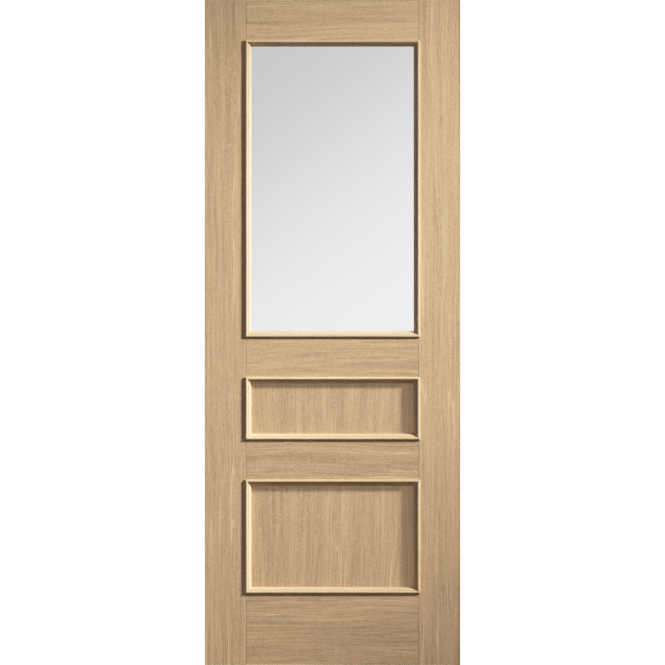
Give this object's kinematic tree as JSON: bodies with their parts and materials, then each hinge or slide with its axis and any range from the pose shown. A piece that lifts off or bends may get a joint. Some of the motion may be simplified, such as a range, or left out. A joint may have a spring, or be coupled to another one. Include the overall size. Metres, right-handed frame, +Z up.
{
  "type": "half glazed door leaf",
  "caption": "Half glazed oak door leaf: a clear pane over flat panels between stiles and rails, edged on both faces by mitred raised mouldings; it hangs to close a doorway.",
  "frame": {"origin": "on the hanging edge, at the foot of the leaf and the middle of its thickness", "axes": "+X from the hanging edge to the lock edge, +Y from the front face to the back, +Z up"},
  "size_m": [0.762, 0.048, 1.981],
  "materials": {
    "oak_veneer": "unfinished, sanded",
    "oak_lipping": "unfinished, sanded",
    "oak_panel": "unfinished, sanded",
    "oak_moulding": "unfinished, sanded",
    "clear_glass": "clear, polished",
    "glazing_tape": "matt"
  },
  "bodies": {
    "root": {"hanging_stile": "oak_veneer", "lock_stile": "oak_veneer", "top_rail": "oak_veneer", "mid_rail": "oak_veneer", "lower_rail": "oak_veneer", "bottom_rail": "oak_veneer", "hanging_stile_lipping": "oak_lipping", "lock_stile_lipping": "oak_lipping", "top_rail_lipping": "oak_lipping", "bottom_rail_lipping": "oak_lipping", "middle_panel": "oak_panel", "bottom_panel": "oak_panel", "glass_pane": "clear_glass", "front_glazing_tape": "glazing_tape", "back_glazing_tape": "glazing_tape", "front_glass_moulding_top": "oak_moulding", "front_glass_moulding_bottom": "oak_moulding", "front_glass_moulding_hinge_side": "oak_moulding", "front_glass_moulding_lock_side": "oak_moulding", "front_middle_panel_moulding_top": "oak_moulding", "front_middle_panel_moulding_bottom": "oak_moulding", "front_middle_panel_moulding_hinge_side": "oak_moulding", "front_middle_panel_moulding_lock_side": "oak_moulding", "front_bottom_panel_moulding_top": "oak_moulding", "front_bottom_panel_moulding_bottom": "oak_moulding", "front_bottom_panel_moulding_hinge_side": "oak_moulding", "front_bottom_panel_moulding_lock_side": "oak_moulding", "back_glass_moulding_top": "oak_moulding", "back_glass_moulding_bottom": "oak_moulding", "back_glass_moulding_hinge_side": "oak_moulding", "back_glass_moulding_lock_side": "oak_moulding", "back_middle_panel_moulding_top": "oak_moulding", "back_middle_panel_moulding_bottom": "oak_moulding", "back_middle_panel_moulding_hinge_side": "oak_moulding", "back_middle_panel_moulding_lock_side": "oak_moulding", "back_bottom_panel_moulding_top": "oak_moulding", "back_bottom_panel_moulding_bottom": "oak_moulding", "back_bottom_panel_moulding_hinge_side": "oak_moulding", "back_bottom_panel_moulding_lock_side": "oak_moulding"}
  },
  "joints": []
}
